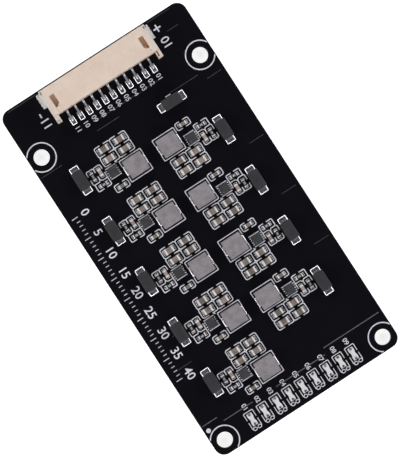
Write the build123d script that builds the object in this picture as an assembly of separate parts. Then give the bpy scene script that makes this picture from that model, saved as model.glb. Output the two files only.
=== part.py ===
from build123d import *
import os

# Battery equalizer: a bare circuit board that balances the cells of a ten-cell battery pack.
# Nine equal balancing cells stand in two columns, a right column of five and a left column of four
# turned half round. Each cell has a moulded power inductor, a leadless balancer chip, four bulk
# capacitors, two small capacitors, two resistors and a moulded diode out at the board's side.
# A tenth diode, a row of nine lamps and an eleven-way side-entry connector complete the board.
# Frame: origin at the centre of the board's underside, +Z up, +Y from connector edge to lamp edge.
# All lengths are millimetres and all angles are degrees.

# Circuit board
board_length = 85.0
board_width = 45.0
board_thickness = 1.6
board_corner_radius = 2.2
mount_hole_diameter = 3.4
mount_hole_side_inset = 2.85
mount_hole_lamp_inset = 2.85
mount_hole_connector_inset = 12.05

# Solder lands, which carry every component
land_height = 0.08

# Balancing cells
right_cell_count = 5
left_cell_count = 4
column_offset = 4.06
first_right_cell_inset = 10.87
last_right_cell_inset = 24.01
first_left_cell_inset = 23.19

# Power inductor: a pressed powder block with two folded copper terminals
inductor_length = 4.4
inductor_width = 4.2
inductor_height = 2.0
inductor_corner_radius = 0.3
inductor_top_chamfer = 0.15
inductor_foot_gap = 0.04
terminal_thickness = 0.15
terminal_width = 2.0
terminal_slot = 0.35
terminal_rise = 1.1
terminal_foot = 1.1
terminal_bend_radius = 0.16
inductor_land_length = 1.4
inductor_land_width = 2.1
inductor_land_offset = 1.95

# Balancer chip: leadless, four lands on each side and one under its middle
chip_size = 2.0
chip_height = 0.75
chip_edge_chamfer = 0.06
chip_mark_radius = 0.16
chip_mark_depth = 0.04
chip_mark_inset = 0.4
chip_x = 4.7
chip_y = -1.4
chip_land_count = 4
chip_land_pitch = 0.5
chip_land_length = 0.6
chip_land_width = 0.28
chip_land_overhang = 0.4
chip_middle_land_width = 0.9
chip_middle_land_length = 1.6

# Bulk capacitors: two by two
bulk_length = 2.0
bulk_width = 1.3
bulk_height = 1.25
bulk_cap_length = 0.42
bulk_edge_chamfer = 0.1
bulk_left_x = 0.0
bulk_spacing_x = 3.85
bulk_first_y = -4.08
bulk_spacing_y = 2.3
bulk_land_length = 1.05
bulk_land_width = 1.35
bulk_land_overhang = 0.45

# Small capacitors and resistors
small_length = 1.6
small_width = 0.8
small_capacitor_height = 0.8
resistor_height = 0.45
small_cap_length = 0.32
small_land_length = 0.8
small_land_width = 0.85
small_land_overhang = 0.35
supply_capacitor_x = 4.72
supply_capacitor_y = 2.1
switch_capacitor_x = 7.07
switch_capacitor_y = -2.7
lying_resistor_x = 7.8
lying_resistor_y = -0.2
standing_resistor_x = 8.85
standing_resistor_y = -2.75
end_cap_proud = 0.03

# Moulded diode with two leads that fold back under it
diode_length = 4.2
diode_width = 2.5
diode_height = 2.2
diode_lift = 0.06
diode_parting_height = 1.05
diode_draft = 6.0
diode_lead_width = 1.45
diode_lead_thickness = 0.2
diode_lead_reach = 2.48
diode_lead_foot = 1.1
diode_lead_bend_radius = 0.22
diode_lead_root = 0.3
diode_x = 11.32
diode_y = -3.5
last_diode_x = -9.4
last_diode_connector_inset = 17.0
diode_land_inner = 1.35
diode_land_outer = 3.2
diode_land_width = 2.0

# Lamps
lamp_count = 9
lamp_pitch = 3.14
lamp_row_inset = 3.36
lamp_length = 2.0
lamp_width = 1.25
lamp_base_height = 0.4
lamp_lens_length = 1.3
lamp_lens_height = 0.45
lamp_lens_draft = 8.0
lamp_notch_radius = 0.25
lamp_land_length = 0.95
lamp_land_width = 1.25
lamp_land_overhang = 0.42

# Connector housing
contact_count = 11
contact_pitch = 2.0
connector_x = 0.0
housing_end_margin = 2.95
housing_depth = 6.1
housing_height = 4.9
housing_setback = 0.5
housing_wall = 0.8
housing_rear_wall = 1.3
housing_edge_radius = 0.2
cavity_end_margin = 1.5
mouth_chamfer = 0.25
window_width = 1.1
window_length = 2.8
window_setback = 1.9
window_step_width = 0.4
window_step_length = 0.42
channel_depth = 0.22
leg_width = 1.05
leg_length = 1.6
leg_slot_width = 0.3
leg_slot_inset = 0.6
leg_slot_depth = 1.2
leg_pocket_length = 0.3
leg_pocket_width = 0.6
leg_pocket_inset = 0.25
leg_pocket_depth = 0.5
ear_slot_width = 0.25
ear_slot_length = 0.6
ear_slot_inset = 0.2
ear_slot_setback = 0.35
ear_slot_depth = 1.0

# Connector contacts
contact_width = 0.45
contact_thickness = 0.4
contact_clearance = 0.03
contact_height = 2.35
contact_pin_length = 3.6
contact_shoulder = 0.55
contact_slope_run = 1.4
contact_foot = 0.7
contact_bend_radius = 0.3
contact_land_width = 1.15
contact_land_front = 0.35
contact_land_rear = 0.85

# Connector hold-down tabs
tab_thickness = 0.25
tab_length = 3.3
tab_rise = 2.6
tab_foot = 0.7
tab_setback = 0.2
tab_clearance = 0.03
tab_bend_radius = 0.2
tab_notch_width = 0.3
tab_notch_length = 0.35
tab_land_margin = 0.15

# Values worked out from the sizes above
half_length = board_length / 2
half_width = board_width / 2
seat_height = board_thickness + land_height
cell_span = board_length - first_right_cell_inset - last_right_cell_inset
cell_pitch = cell_span / (right_cell_count - 1)
hole_x = half_width - mount_hole_side_inset
hole_y_lamp = half_length - mount_hole_lamp_inset
hole_y_connector = -half_length + mount_hole_connector_inset
lamp_y = half_length - lamp_row_inset
mouth_y = -half_length + housing_setback
rear_y = mouth_y + housing_depth
contact_row = contact_pitch * (contact_count - 1)
housing_width = contact_row + 2 * housing_end_margin
cavity_width = contact_row + 2 * cavity_end_margin
cavity_depth = housing_depth - housing_rear_wall
contact_tip_y = rear_y - housing_rear_wall - contact_pin_length
contact_shoulder_y = rear_y + contact_shoulder
contact_heel_y = contact_shoulder_y + contact_slope_run
contact_toe_y = contact_heel_y + contact_foot


def cell_frames():
    """Places the cells: the right column down from the lamp end, then the left one, half turned."""
    right = [
        Location((column_offset, half_length - first_right_cell_inset - i * cell_pitch, 0))
        for i in range(right_cell_count)
    ]
    left = [
        Location((-column_offset, half_length - first_left_cell_inset - i * cell_pitch, 0), (0, 0, 180))
        for i in range(left_cell_count)
    ]
    return right + left


def block(size_x, size_y, size_z):
    """A block that stands on its own plane, centred on the origin."""
    return extrude(Rectangle(size_x, size_y), amount=size_z)


def bent_strip(points, radius, width, thickness):
    """A strip of sheet or wire that follows straight runs with rounded bends, in one upright plane."""
    path = FilletPolyline(*points, radius=radius)
    across = Vector(0, 1, 0) if points[0][1] == points[-1][1] else Vector(1, 0, 0)
    start = Plane(origin=path @ 0, x_dir=across, z_dir=path % 0)
    return sweep(start * Rectangle(width, thickness), path=path)


def group(shapes):
    """Separate solids that share one node."""
    return Compound([solid for shape in shapes for solid in shape.solids()])


def make_board():
    """The bare board: rounded corners and four screw holes."""
    outline = RectangleRounded(board_width, board_length, board_corner_radius)
    holes = [
        Pos(side * hole_x, y) * Circle(mount_hole_diameter / 2)
        for side in (-1, 1)
        for y in (hole_y_lamp, hole_y_connector)
    ]
    return extrude(outline - holes, amount=board_thickness)


def make_inductor():
    """Pressed block with a folded, slotted terminal wrapped down each end and under it."""
    lift = terminal_thickness + inductor_foot_gap
    body = Pos(0, 0, lift) * block(inductor_length, inductor_width, inductor_height - lift)
    body = fillet(body.edges().filter_by(Axis.Z), inductor_corner_radius)
    body = chamfer(body.edges().group_by(Axis.Z)[-1], inductor_top_chamfer)
    outer = inductor_length / 2 + terminal_thickness / 2
    middle = terminal_thickness / 2
    points = [
        (inductor_length / 2 - inductor_corner_radius, 0, terminal_rise),
        (outer, 0, terminal_rise),
        (outer, 0, middle),
        (inductor_length / 2 - terminal_foot, 0, middle),
    ]
    strip = bent_strip(points, terminal_bend_radius, terminal_width, terminal_thickness)
    slot_reach = 2 * terminal_thickness
    slot = Pos(inductor_length / 2 + slot_reach / 2, 0, 0) * block(slot_reach, terminal_slot, terminal_rise)
    strip = strip - Pos(0, 0, terminal_thickness) * slot
    return body + strip + mirror(strip, about=Plane.YZ)


def make_chip():
    """Flat leadless package with a round mark at its first lead."""
    body = block(chip_size, chip_size, chip_height)
    body = chamfer(body.edges().group_by(Axis.Z)[-1], chip_edge_chamfer)
    mark = Cylinder(chip_mark_radius, chip_mark_depth, align=(Align.CENTER, Align.CENTER, Align.MAX))
    inset = chip_size / 2 - chip_mark_inset
    return body - Pos(-inset, -inset, chip_height) * mark


def make_end_capped(length, width, height, cap_length, edge_chamfer=0.0):
    """Ceramic block with a metal cap over each end, the caps a little proud of the block."""
    proud = end_cap_proud
    core = Pos(0, 0, proud) * block(length - cap_length, width - 2 * proud, height - 2 * proud)
    cap = block(cap_length, width, height)
    if edge_chamfer:
        outer = cap.faces().sort_by(Axis.X)[-1].edges()
        cap = chamfer(outer, edge_chamfer)
    cap = Pos((length - cap_length) / 2, 0, 0) * cap
    return core + cap + mirror(cap, about=Plane.YZ)


def make_diode():
    """Moulded body, tapered both ways from its parting line, with a lead folded under each end."""
    parting = Pos(0, 0, diode_parting_height) * Rectangle(diode_width, diode_length)
    body = extrude(parting, amount=diode_height - diode_parting_height, taper=diode_draft)
    lower_height = diode_parting_height - diode_lead_thickness - diode_lift
    body = body + extrude(parting, amount=-lower_height, taper=diode_draft)
    outer = diode_lead_reach - diode_lead_thickness / 2
    middle = diode_lead_thickness / 2
    points = [
        (0, diode_length / 2 - diode_lead_root, diode_parting_height),
        (0, outer, diode_parting_height),
        (0, outer, middle),
        (0, diode_lead_reach - diode_lead_foot, middle),
    ]
    lead = bent_strip(points, diode_lead_bend_radius, diode_lead_width, diode_lead_thickness)
    return body + lead + mirror(lead, about=Plane.XZ)


def make_lamp():
    """Small lamp: a base with half-round notches in its ends and a clear block over its middle."""
    outline = Rectangle(lamp_width, lamp_length)
    for end in (-1, 1):
        outline = outline - Pos(0, end * lamp_length / 2) * Circle(lamp_notch_radius)
    base = extrude(outline, amount=lamp_base_height)
    footprint = Pos(0, 0, lamp_base_height) * Rectangle(lamp_width, lamp_lens_length)
    return base + extrude(footprint, amount=lamp_lens_height, taper=lamp_lens_draft)


def make_housing():
    """Open-mouthed connector housing, drawn from its rear face at the origin, mouth towards -Y."""
    front = -housing_depth
    side = housing_width / 2
    body = Pos(0, front / 2, 0) * block(housing_width, housing_depth, housing_height)
    body = fillet(body.edges().filter_by(Axis.X).group_by(Axis.Z)[-1], housing_edge_radius)
    for end in (-1, 1):
        leg = Pos(end * (side - leg_width / 2), leg_length / 2, 0)
        body = body + leg * block(leg_width, leg_length, housing_height - housing_edge_radius)
    cavity = RectangleRounded(cavity_width, housing_height - 2 * housing_wall, housing_edge_radius)
    mouth = Plane(origin=(0, front, housing_height / 2), x_dir=(1, 0, 0), z_dir=(0, 1, 0))
    body = body - extrude(mouth * cavity, amount=cavity_depth)
    rim = body.faces().sort_by(Axis.Y)[0].inner_wires()[0]
    body = chamfer(rim.edges(), mouth_chamfer)
    body = body - [window_cut(end) for end in (-1, 1)]
    body = body - [passage_cut(i) for i in range(contact_count)]
    body = body - [tab_pocket(end) for end in (-1, 1)]
    return body - leg_slot() - leg_pocket() - [ear_slot(end) for end in (-1, 1)]


def window_cut(end):
    """Latch window through the roof at one end, with a shallow channel behind it and a small step."""
    middle_x = end * (cavity_width - window_width) / 2
    front = -housing_depth + window_setback
    roof = housing_height - housing_wall
    opening = Pos(middle_x, front + window_length / 2) * Rectangle(window_width, window_length)
    step_x = end * (cavity_width / 2 - window_width + window_step_width / 2)
    step_y = front + window_length - window_step_length / 2
    opening = opening - Pos(step_x, step_y) * Rectangle(window_step_width, window_step_length)
    window = Pos(0, 0, roof - housing_edge_radius) * extrude(opening, amount=2 * housing_wall)
    channel_length = -(front + window_length) + window_step_length
    channel = Pos(middle_x, -channel_length / 2, housing_height - channel_depth)
    return window + channel * block(window_width, channel_length, housing_wall)


def passage_cut(index):
    """Square passage for one contact through the rear wall."""
    x = contact_x(index) - connector_x
    size_x = contact_width + 2 * contact_clearance
    size_z = contact_thickness + 2 * contact_clearance
    passage = Pos(x, -housing_rear_wall / 2, land_height + contact_height - size_z / 2)
    return passage * block(size_x, 2 * housing_rear_wall, size_z)


def tab_pocket(end):
    """Recess in one side face that holds the upright part of a hold-down tab."""
    depth = tab_thickness + tab_clearance
    length = tab_length + 2 * tab_clearance
    y = -housing_depth + tab_setback + tab_length / 2
    pocket = Pos(end * (housing_width - depth) / 2, y, 0)
    return pocket * block(depth, length, land_height + tab_rise + tab_clearance)


def leg_slot():
    """Slot down the top of the left leg, which leaves a thin inner rib."""
    x = -housing_width / 2 + leg_slot_inset + leg_slot_width / 2
    slot = Pos(x, (leg_length - leg_slot_inset / 2) / 2, housing_height - leg_slot_depth)
    return slot * block(leg_slot_width, leg_length - leg_slot_inset / 2, leg_slot_depth)


def leg_pocket():
    """Small pocket in the top of the right leg near its end."""
    x = housing_width / 2 - leg_width / 2
    y = leg_length - leg_pocket_inset - leg_pocket_length / 2
    pocket = Pos(x, y, housing_height - leg_pocket_depth)
    return pocket * block(leg_pocket_width, leg_pocket_length, leg_pocket_depth)


def ear_slot(end):
    """Short slot in the roof at one front corner."""
    x = end * (housing_width / 2 - ear_slot_inset - ear_slot_width / 2)
    y = -housing_depth + ear_slot_setback + ear_slot_length / 2
    return Pos(x, y, housing_height - ear_slot_depth) * block(ear_slot_width, ear_slot_length, ear_slot_depth)


def contact_x(index):
    """Place of one contact across the board."""
    return connector_x + (index - (contact_count - 1) / 2) * contact_pitch


def make_contact():
    """Square wire contact: a pin in the mouth, a shoulder, a slope down and a foot on its land."""
    pin_z = contact_height
    foot_z = contact_thickness / 2
    points = [
        (0, contact_tip_y, pin_z),
        (0, contact_shoulder_y, pin_z),
        (0, contact_heel_y, foot_z),
        (0, contact_toe_y, foot_z),
    ]
    return bent_strip(points, contact_bend_radius, contact_width, contact_thickness)


def make_tab():
    """Right-hand hold-down tab: an upright plate in the housing's side, and a foot on the board."""
    upright_x = housing_width / 2 - tab_thickness / 2
    y = mouth_y + tab_setback + tab_length / 2
    points = [
        (upright_x, y, tab_rise),
        (upright_x, y, tab_thickness / 2),
        (housing_width / 2 + tab_foot, y, tab_thickness / 2),
    ]
    tab = bent_strip(points, tab_bend_radius, tab_length, tab_thickness)
    notch_x = housing_width / 2 + tab_foot / 2
    notch = Pos(notch_x, mouth_y + tab_setback, 0)
    return tab - notch * block(tab_notch_width, 2 * tab_notch_length, 2 * tab_thickness)


def land(x, y, size_x, size_y):
    """One solder land on the board's top."""
    return Pos(x, y, board_thickness) * block(size_x, size_y, land_height)


def end_lands(length, land_length, land_width, overhang):
    """The two lands under an end-capped piece that lies along X."""
    x = length / 2 + overhang - land_length / 2
    return [land(end * x, 0, land_length, land_width) for end in (-1, 1)]


def chip_lands():
    """Lands down both sides of the chip, and the one under its middle."""
    x = chip_size / 2 + chip_land_overhang - chip_land_length / 2
    lands = [land(0, 0, chip_middle_land_width, chip_middle_land_length)]
    for i in range(chip_land_count):
        y = (i - (chip_land_count - 1) / 2) * chip_land_pitch
        lands += [land(end * x, y, chip_land_length, chip_land_width) for end in (-1, 1)]
    return lands


def diode_lands():
    """The two lands of a diode that lies along Y."""
    length = diode_land_outer - diode_land_inner
    y = (diode_land_outer + diode_land_inner) / 2
    return [land(0, end * y, diode_land_width, length) for end in (-1, 1)]


def inductor_lands():
    """The two lands under an inductor's terminals."""
    x = inductor_land_offset
    return [land(end * x, 0, inductor_land_length, inductor_land_width) for end in (-1, 1)]


def contact_land(index):
    """Land under one contact's foot."""
    low = contact_heel_y - contact_land_front
    high = contact_toe_y + contact_land_rear
    return land(contact_x(index), (low + high) / 2, contact_land_width, high - low)


def tab_land(end):
    """Land under one hold-down tab's foot, just outside the housing."""
    size_x = tab_foot + tab_land_margin
    x = connector_x + end * (housing_width / 2 + size_x / 2)
    y = mouth_y + tab_setback + tab_length / 2
    return land(x, y, size_x, tab_length)


quarter_turn = Rot(0, 0, 90)
frames = cell_frames()
bulk_spots = [
    Pos(bulk_left_x + i * bulk_spacing_x, bulk_first_y - j * bulk_spacing_y)
    for j in range(2)
    for i in range(2)
]
supply_spot = Pos(supply_capacitor_x, supply_capacitor_y)
switch_spot = Pos(switch_capacitor_x, switch_capacitor_y) * quarter_turn
lying_spot = Pos(lying_resistor_x, lying_resistor_y)
standing_spot = Pos(standing_resistor_x, standing_resistor_y) * quarter_turn
diode_places = [frame * Pos(diode_x, diode_y) for frame in frames]
diode_places.append(Pos(last_diode_x, -half_length + last_diode_connector_inset) * quarter_turn)
lamp_places = [Pos((i - (lamp_count - 1) / 2) * lamp_pitch, lamp_y) for i in range(lamp_count)]


def all_lands():
    """Every solder land on the board, in its place."""
    small_lands = end_lands(small_length, small_land_length, small_land_width, small_land_overhang)
    bulk_lands = end_lands(bulk_length, bulk_land_length, bulk_land_width, bulk_land_overhang)
    lamp_lands = end_lands(lamp_length, lamp_land_length, lamp_land_width, lamp_land_overhang)
    cell_lands = inductor_lands() + [Pos(chip_x, chip_y) * pad for pad in chip_lands()]
    cell_lands += [spot * pad for spot in bulk_spots for pad in bulk_lands]
    small_spots = (supply_spot, switch_spot, lying_spot, standing_spot)
    cell_lands += [spot * pad for spot in small_spots for pad in small_lands]
    lands = [frame * pad for frame in frames for pad in cell_lands]
    lands += [place * pad for place in diode_places for pad in diode_lands()]
    lands += [place * quarter_turn * pad for place in lamp_places for pad in lamp_lands]
    lands += [contact_land(i) for i in range(contact_count)]
    return lands + [tab_land(end) for end in (-1, 1)]


def build_nodes():
    """Names every sub-part and puts it in its place."""
    on_lands = Pos(0, 0, seat_height)
    inductor = on_lands * make_inductor()
    chip = on_lands * Pos(chip_x, chip_y) * make_chip()
    bulk = on_lands * make_end_capped(bulk_length, bulk_width, bulk_height, bulk_cap_length, bulk_edge_chamfer)
    small = on_lands * make_end_capped(small_length, small_width, small_capacitor_height, small_cap_length)
    resistor = on_lands * make_end_capped(small_length, small_width, resistor_height, small_cap_length)
    diode = on_lands * make_diode()
    lamp = on_lands * make_lamp()
    contact = on_lands * make_contact()
    tab = on_lands * make_tab()
    nodes = {"circuit_board": make_board(), "solder_lands": group(all_lands())}
    for number, frame in enumerate(frames, 1):
        nodes[f"power_inductor_{number}"] = frame * inductor
        nodes[f"balancer_chip_{number}"] = frame * chip
        nodes[f"bulk_capacitors_{number}"] = group(frame * spot * bulk for spot in bulk_spots)
    for number, place in enumerate(diode_places, 1):
        nodes[f"diode_{number}"] = place * diode
    for number, place in enumerate(lamp_places, 1):
        nodes[f"indicator_lamp_{number}"] = place * lamp
    nodes["supply_capacitors"] = group(frame * supply_spot * small for frame in frames)
    nodes["switch_capacitors"] = group(frame * switch_spot * small for frame in frames)
    nodes["lying_resistors"] = group(frame * lying_spot * resistor for frame in frames)
    nodes["standing_resistors"] = group(frame * standing_spot * resistor for frame in frames)
    nodes["connector_housing"] = Pos(connector_x, rear_y, board_thickness) * make_housing()
    nodes["connector_contacts"] = group(Pos(contact_x(i), 0) * contact for i in range(contact_count))
    tabs = [tab, mirror(tab, about=Plane.YZ)]
    nodes["connector_tabs"] = group(Pos(connector_x, 0) * piece for piece in tabs)
    return nodes


os.makedirs("parts", exist_ok=True)
for name, shape in build_nodes().items():
    export_step(shape, f"parts/{name}.step")
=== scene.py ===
"""Looks of the battery equalizer board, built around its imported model."""
import math

import bmesh
import bpy
from mathutils import Matrix, Vector


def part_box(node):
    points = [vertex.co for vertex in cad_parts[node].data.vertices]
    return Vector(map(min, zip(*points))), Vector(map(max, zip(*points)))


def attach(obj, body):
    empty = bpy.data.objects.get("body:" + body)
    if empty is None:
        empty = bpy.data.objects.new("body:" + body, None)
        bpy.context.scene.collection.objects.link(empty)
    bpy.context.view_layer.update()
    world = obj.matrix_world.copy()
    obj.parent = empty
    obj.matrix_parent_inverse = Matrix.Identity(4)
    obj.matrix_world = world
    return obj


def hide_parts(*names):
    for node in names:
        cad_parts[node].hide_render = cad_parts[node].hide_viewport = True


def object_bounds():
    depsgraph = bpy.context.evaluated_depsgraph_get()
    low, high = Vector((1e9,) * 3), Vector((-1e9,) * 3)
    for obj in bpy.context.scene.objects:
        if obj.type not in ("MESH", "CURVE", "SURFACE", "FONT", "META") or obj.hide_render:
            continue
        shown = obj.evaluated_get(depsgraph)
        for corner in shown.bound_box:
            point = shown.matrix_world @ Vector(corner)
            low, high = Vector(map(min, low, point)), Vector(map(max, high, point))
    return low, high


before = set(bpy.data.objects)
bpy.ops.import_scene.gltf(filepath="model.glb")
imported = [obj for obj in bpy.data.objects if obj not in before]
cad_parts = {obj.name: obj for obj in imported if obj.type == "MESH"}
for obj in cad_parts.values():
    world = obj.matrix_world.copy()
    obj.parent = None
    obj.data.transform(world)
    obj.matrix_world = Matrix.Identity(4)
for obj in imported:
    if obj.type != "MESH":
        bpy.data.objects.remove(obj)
cad_low, cad_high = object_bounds()

# Sizes are millimetres here, and MM turns them into the frame's metres
MM = 0.001
BODY = "root"
BOARD_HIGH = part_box("circuit_board")[1]
BOARD_TOP = BOARD_HIGH.z / MM
HALF_WIDTH = BOARD_HIGH.x / MM
HALF_LENGTH = BOARD_HIGH.y / MM
CORNER_RADIUS = 2.2
# Components stand on the solder lands, at this height
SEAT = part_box("power_inductor_1")[0].z / MM
LAND_HEIGHT = SEAT - BOARD_TOP
CELLS = range(1, 10)
RIGHT_CELLS = 5
DIODES = range(1, 11)
LAMPS = range(1, 10)
CONTACTS = 11
CONTACT_PITCH = 2.0
ARC_STEPS = 5
INK_THICKNESS = 0.012
QUARTER_TURN = math.pi / 2


def middle(node):
    """Middle of a node's box, in millimetres."""
    low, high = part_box(node)
    return (low + high) / (2 * MM)


def cell_places():
    """Centre and turn of each balancing cell, from its inductor."""
    places = []
    for number in CELLS:
        spot = middle(f"power_inductor_{number}")
        places.append((spot.x, spot.y, 0.0 if number <= RIGHT_CELLS else math.pi))
    return places


def turned(x, y, angle):
    """A point turned about the origin."""
    return (x * math.cos(angle) - y * math.sin(angle), x * math.sin(angle) + y * math.cos(angle))


def in_cells(spots):
    """Repeats (x, y, turn) spots of one cell in every cell."""
    repeated = []
    for cell_x, cell_y, cell_turn in cell_places():
        for x, y, turn in spots:
            dx, dy = turned(x, y, cell_turn)
            repeated.append((cell_x + dx, cell_y + dy, cell_turn + turn))
    return repeated


def in_scene(name, data):
    """A new object of the scene, at the origin."""
    made = bpy.data.objects.new(name, data)
    bpy.context.scene.collection.objects.link(made)
    return made


def result_mesh(source):
    """What an object's modifiers or its figures make, as a plain mesh."""
    depsgraph = bpy.context.evaluated_depsgraph_get()
    return bpy.data.meshes.new_from_object(source.evaluated_get(depsgraph))


def new_node(tree, kind, settings, inputs):
    """Makes any node: its settings first, then the values or links of its sockets."""
    node = tree.nodes.new(kind)
    for key, value in (settings or {}).items():
        setattr(node, key, value)
    for key, value in (inputs or {}).items():
        if isinstance(value, bpy.types.NodeSocket):
            tree.links.new(value, node.inputs[key])
        else:
            node.inputs[key].default_value = value
    return node


# Shader trees

class Value:
    """One output of a shader tree, on which Python arithmetic adds Math nodes."""

    def __init__(self, home, socket):
        self.home = home
        self.socket = socket

    def __add__(self, other):
        return self.home.maths("ADD", self, other)

    def __radd__(self, other):
        return self.home.maths("ADD", other, self)

    def __mul__(self, other):
        return self.home.maths("MULTIPLY", self, other)

    def __rmul__(self, other):
        return self.home.maths("MULTIPLY", other, self)

    def __lt__(self, other):
        return self.home.maths("LESS_THAN", self, other)

    def __gt__(self, other):
        return self.home.maths("GREATER_THAN", self, other)

    def __abs__(self):
        return self.home.maths("ABSOLUTE", self)


class Shading:
    """A shader tree while it is being written."""

    def __init__(self, tree):
        self.tree = tree

    def add(self, kind, settings=None, inputs=None, output=0):
        """Makes any node and gives one of its outputs."""
        plain = {}
        for key, value in (inputs or {}).items():
            plain[key] = value.socket if isinstance(value, Value) else value
        return Value(self, new_node(self.tree, kind, settings, plain).outputs[output])

    def maths(self, operation, *values):
        return self.add("ShaderNodeMath", {"operation": operation}, dict(enumerate(values)))

    def split(self, vector):
        """The three parts of a vector."""
        node = self.add("ShaderNodeSeparateXYZ", inputs={0: vector}).socket.node
        return [Value(self, socket) for socket in node.outputs]

    def ramp(self, value, low, high):
        """Runs from 0 to 1 as the value goes from low to high."""
        inputs = {"Value": value, "From Min": low, "From Max": high}
        return self.add("ShaderNodeMapRange", inputs=inputs)

    def seen(self):
        """1 where the eye, a mirror or glass looks, and 0 where a surface only takes light."""
        outputs = self.add("ShaderNodeLightPath").socket.node.outputs
        eye = Value(self, outputs["Is Camera Ray"])
        for name in ("Is Glossy Ray", "Is Transmission Ray"):
            eye = self.maths("MAXIMUM", eye, Value(self, outputs[name]))
        return eye


# A Mix node's sockets for colours, by number, since its other kinds share their names
MIX_FACTOR, MIX_FIRST, MIX_SECOND, MIX_RESULT = 0, 6, 7, 2


class Finish(Shading):
    """A material's shader tree while it is being written."""

    def __init__(self, name, roughness=0.5, metallic=0.0, specular=0.5):
        self.material = bpy.data.materials.new(name)
        self.material.use_nodes = True
        super().__init__(self.material.node_tree)
        self.shader = self.tree.nodes["Principled BSDF"]
        self.hold("Roughness", roughness)
        self.hold("Metallic", metallic)
        self.hold("Specular IOR Level", specular)
        self.place = self.add("ShaderNodeTexCoord", output="Object")
        self.x, self.y, self.z = self.split(self.place)

    def hold(self, name, value):
        """Gives one of the shader's inputs the same value everywhere."""
        self.shader.inputs[name].default_value = value

    def feed(self, name, value):
        """Links one of the shader's inputs to what the tree works out."""
        self.tree.links.new(value.socket, self.shader.inputs[name])

    def noise(self, grain, detail=2.0, stretch=None):
        """Noise from 0 to 1, with a grain in millimetres."""
        place = self.place
        if stretch:
            place = self.add("ShaderNodeMapping", inputs={"Vector": place, "Scale": stretch})
        inputs = {"Vector": place, "Scale": 1 / (grain * MM), "Detail": detail}
        return self.add("ShaderNodeTexNoise", inputs=inputs, output="Fac")

    def blend(self, factor, first, second):
        """Mixes two colours."""
        inputs = {MIX_FACTOR: factor, MIX_FIRST: paint(first), MIX_SECOND: paint(second)}
        return self.add("ShaderNodeMix", {"data_type": "RGBA"}, inputs, output=MIX_RESULT)

    def scatter(self, weight, red, green, blue):
        """Lets light into the surface, to depths in millimetres."""
        self.hold("Subsurface Weight", weight)
        self.hold("Subsurface Radius", (red * MM, green * MM, blue * MM))

    def bump(self, height, depth):
        """Bump of a depth in millimetres."""
        inputs = {"Strength": 1.0, "Distance": depth * MM, "Height": height}
        self.feed("Normal", self.add("ShaderNodeBump", inputs=inputs))


def paint(colour):
    """A colour for a blend: a link as it is, or three numbers and full cover."""
    return colour if isinstance(colour, Value) else (*colour, 1.0)


# The mask covers the board's faces and this much of its edges
MASK_LAP = 0.06
# The housing turns paler between these distances from its middle
THIN_ENDS = (11.7, 12.6)
# The latch windows, across and along the board, and the depths down from the housing's top over
# which shade is painted into them
WINDOW_ACROSS = (10.3, 11.6)
WINDOW_ALONG = (-40.4, -36.1)
PAINTED_SHADE_DEPTH = (0.25, 0.45)


def mask_finish():
    """Black solder mask, with the board's glass fibre on its edges."""
    finish = Finish("black solder mask", specular=0.2)
    cloud = finish.noise(9.0, 3.0)
    mask = finish.blend(cloud, (0.0026, 0.0023, 0.0042), (0.0042, 0.0038, 0.0062))
    fibre = finish.noise(0.25, 3.0, stretch=(1.0, 1.0, 6.0))
    edge = finish.blend(fibre, (0.030, 0.026, 0.017), (0.060, 0.052, 0.034))
    bare = (finish.z > MASK_LAP * MM) * (finish.z < (BOARD_TOP - MASK_LAP) * MM)
    finish.feed("Base Color", finish.blend(bare, mask, edge))
    finish.feed("Roughness", 0.28 + 0.06 * finish.noise(0.6, 4.0) + 0.3 * bare)
    finish.bump(finish.noise(1.6, 2.0) + 0.25 * finish.noise(0.12, 2.0), 0.004)
    return finish.material


def faint_finish():
    """Thin tracks that show dimly under the mask."""
    finish = Finish("track under mask", roughness=0.45, specular=0.2)
    shade = finish.noise(0.7, 3.0)
    finish.feed("Base Color", finish.blend(shade, (0.06, 0.06, 0.066), (0.15, 0.15, 0.16)))
    finish.bump(finish.noise(0.3, 2.0), 0.004)
    return finish.material


def ink_finish():
    """White printed ink, a little uneven."""
    finish = Finish("white ink", roughness=0.55, specular=0.3)
    shade = finish.noise(0.5, 4.0)
    finish.feed("Base Color", finish.blend(shade, (0.62, 0.62, 0.69), (0.80, 0.80, 0.87)))
    finish.bump(finish.noise(0.15, 3.0), 0.004)
    return finish.material


def solder_finish():
    """Reflowed solder: bright metal with soft ripples."""
    finish = Finish("solder", metallic=1.0)
    shade = finish.noise(0.8, 3.0)
    finish.feed("Base Color", finish.blend(shade, (0.55, 0.55, 0.58), (0.86, 0.86, 0.89)))
    finish.feed("Roughness", 0.2 + 0.14 * finish.noise(0.4, 3.0))
    finish.bump(finish.noise(0.4, 2.0), 0.006)
    return finish.material


def tin_finish(name, dark, light, rough, metallic=0.75):
    """Tin plate on metal ends and wires."""
    finish = Finish(name, metallic=metallic)
    finish.feed("Base Color", finish.blend(finish.noise(0.5, 3.0), dark, light))
    finish.feed("Roughness", rough + 0.16 * finish.noise(0.2, 3.0))
    finish.bump(finish.noise(0.12, 3.0), 0.006)
    return finish.material


def powder_finish():
    """Pressed powder: matt grey with a fine speckle."""
    finish = Finish("pressed powder", specular=0.4)
    speckle = finish.ramp(0.6 * finish.noise(0.13, 5.0) + 0.4 * finish.noise(1.4, 3.0), 0.34, 0.66)
    finish.feed("Base Color", finish.blend(speckle, (0.165, 0.152, 0.165), (0.335, 0.305, 0.325)))
    finish.feed("Roughness", 0.52 + 0.2 * finish.noise(0.2, 4.0))
    finish.bump(finish.noise(0.1, 5.0), 0.02)
    return finish.material


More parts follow.
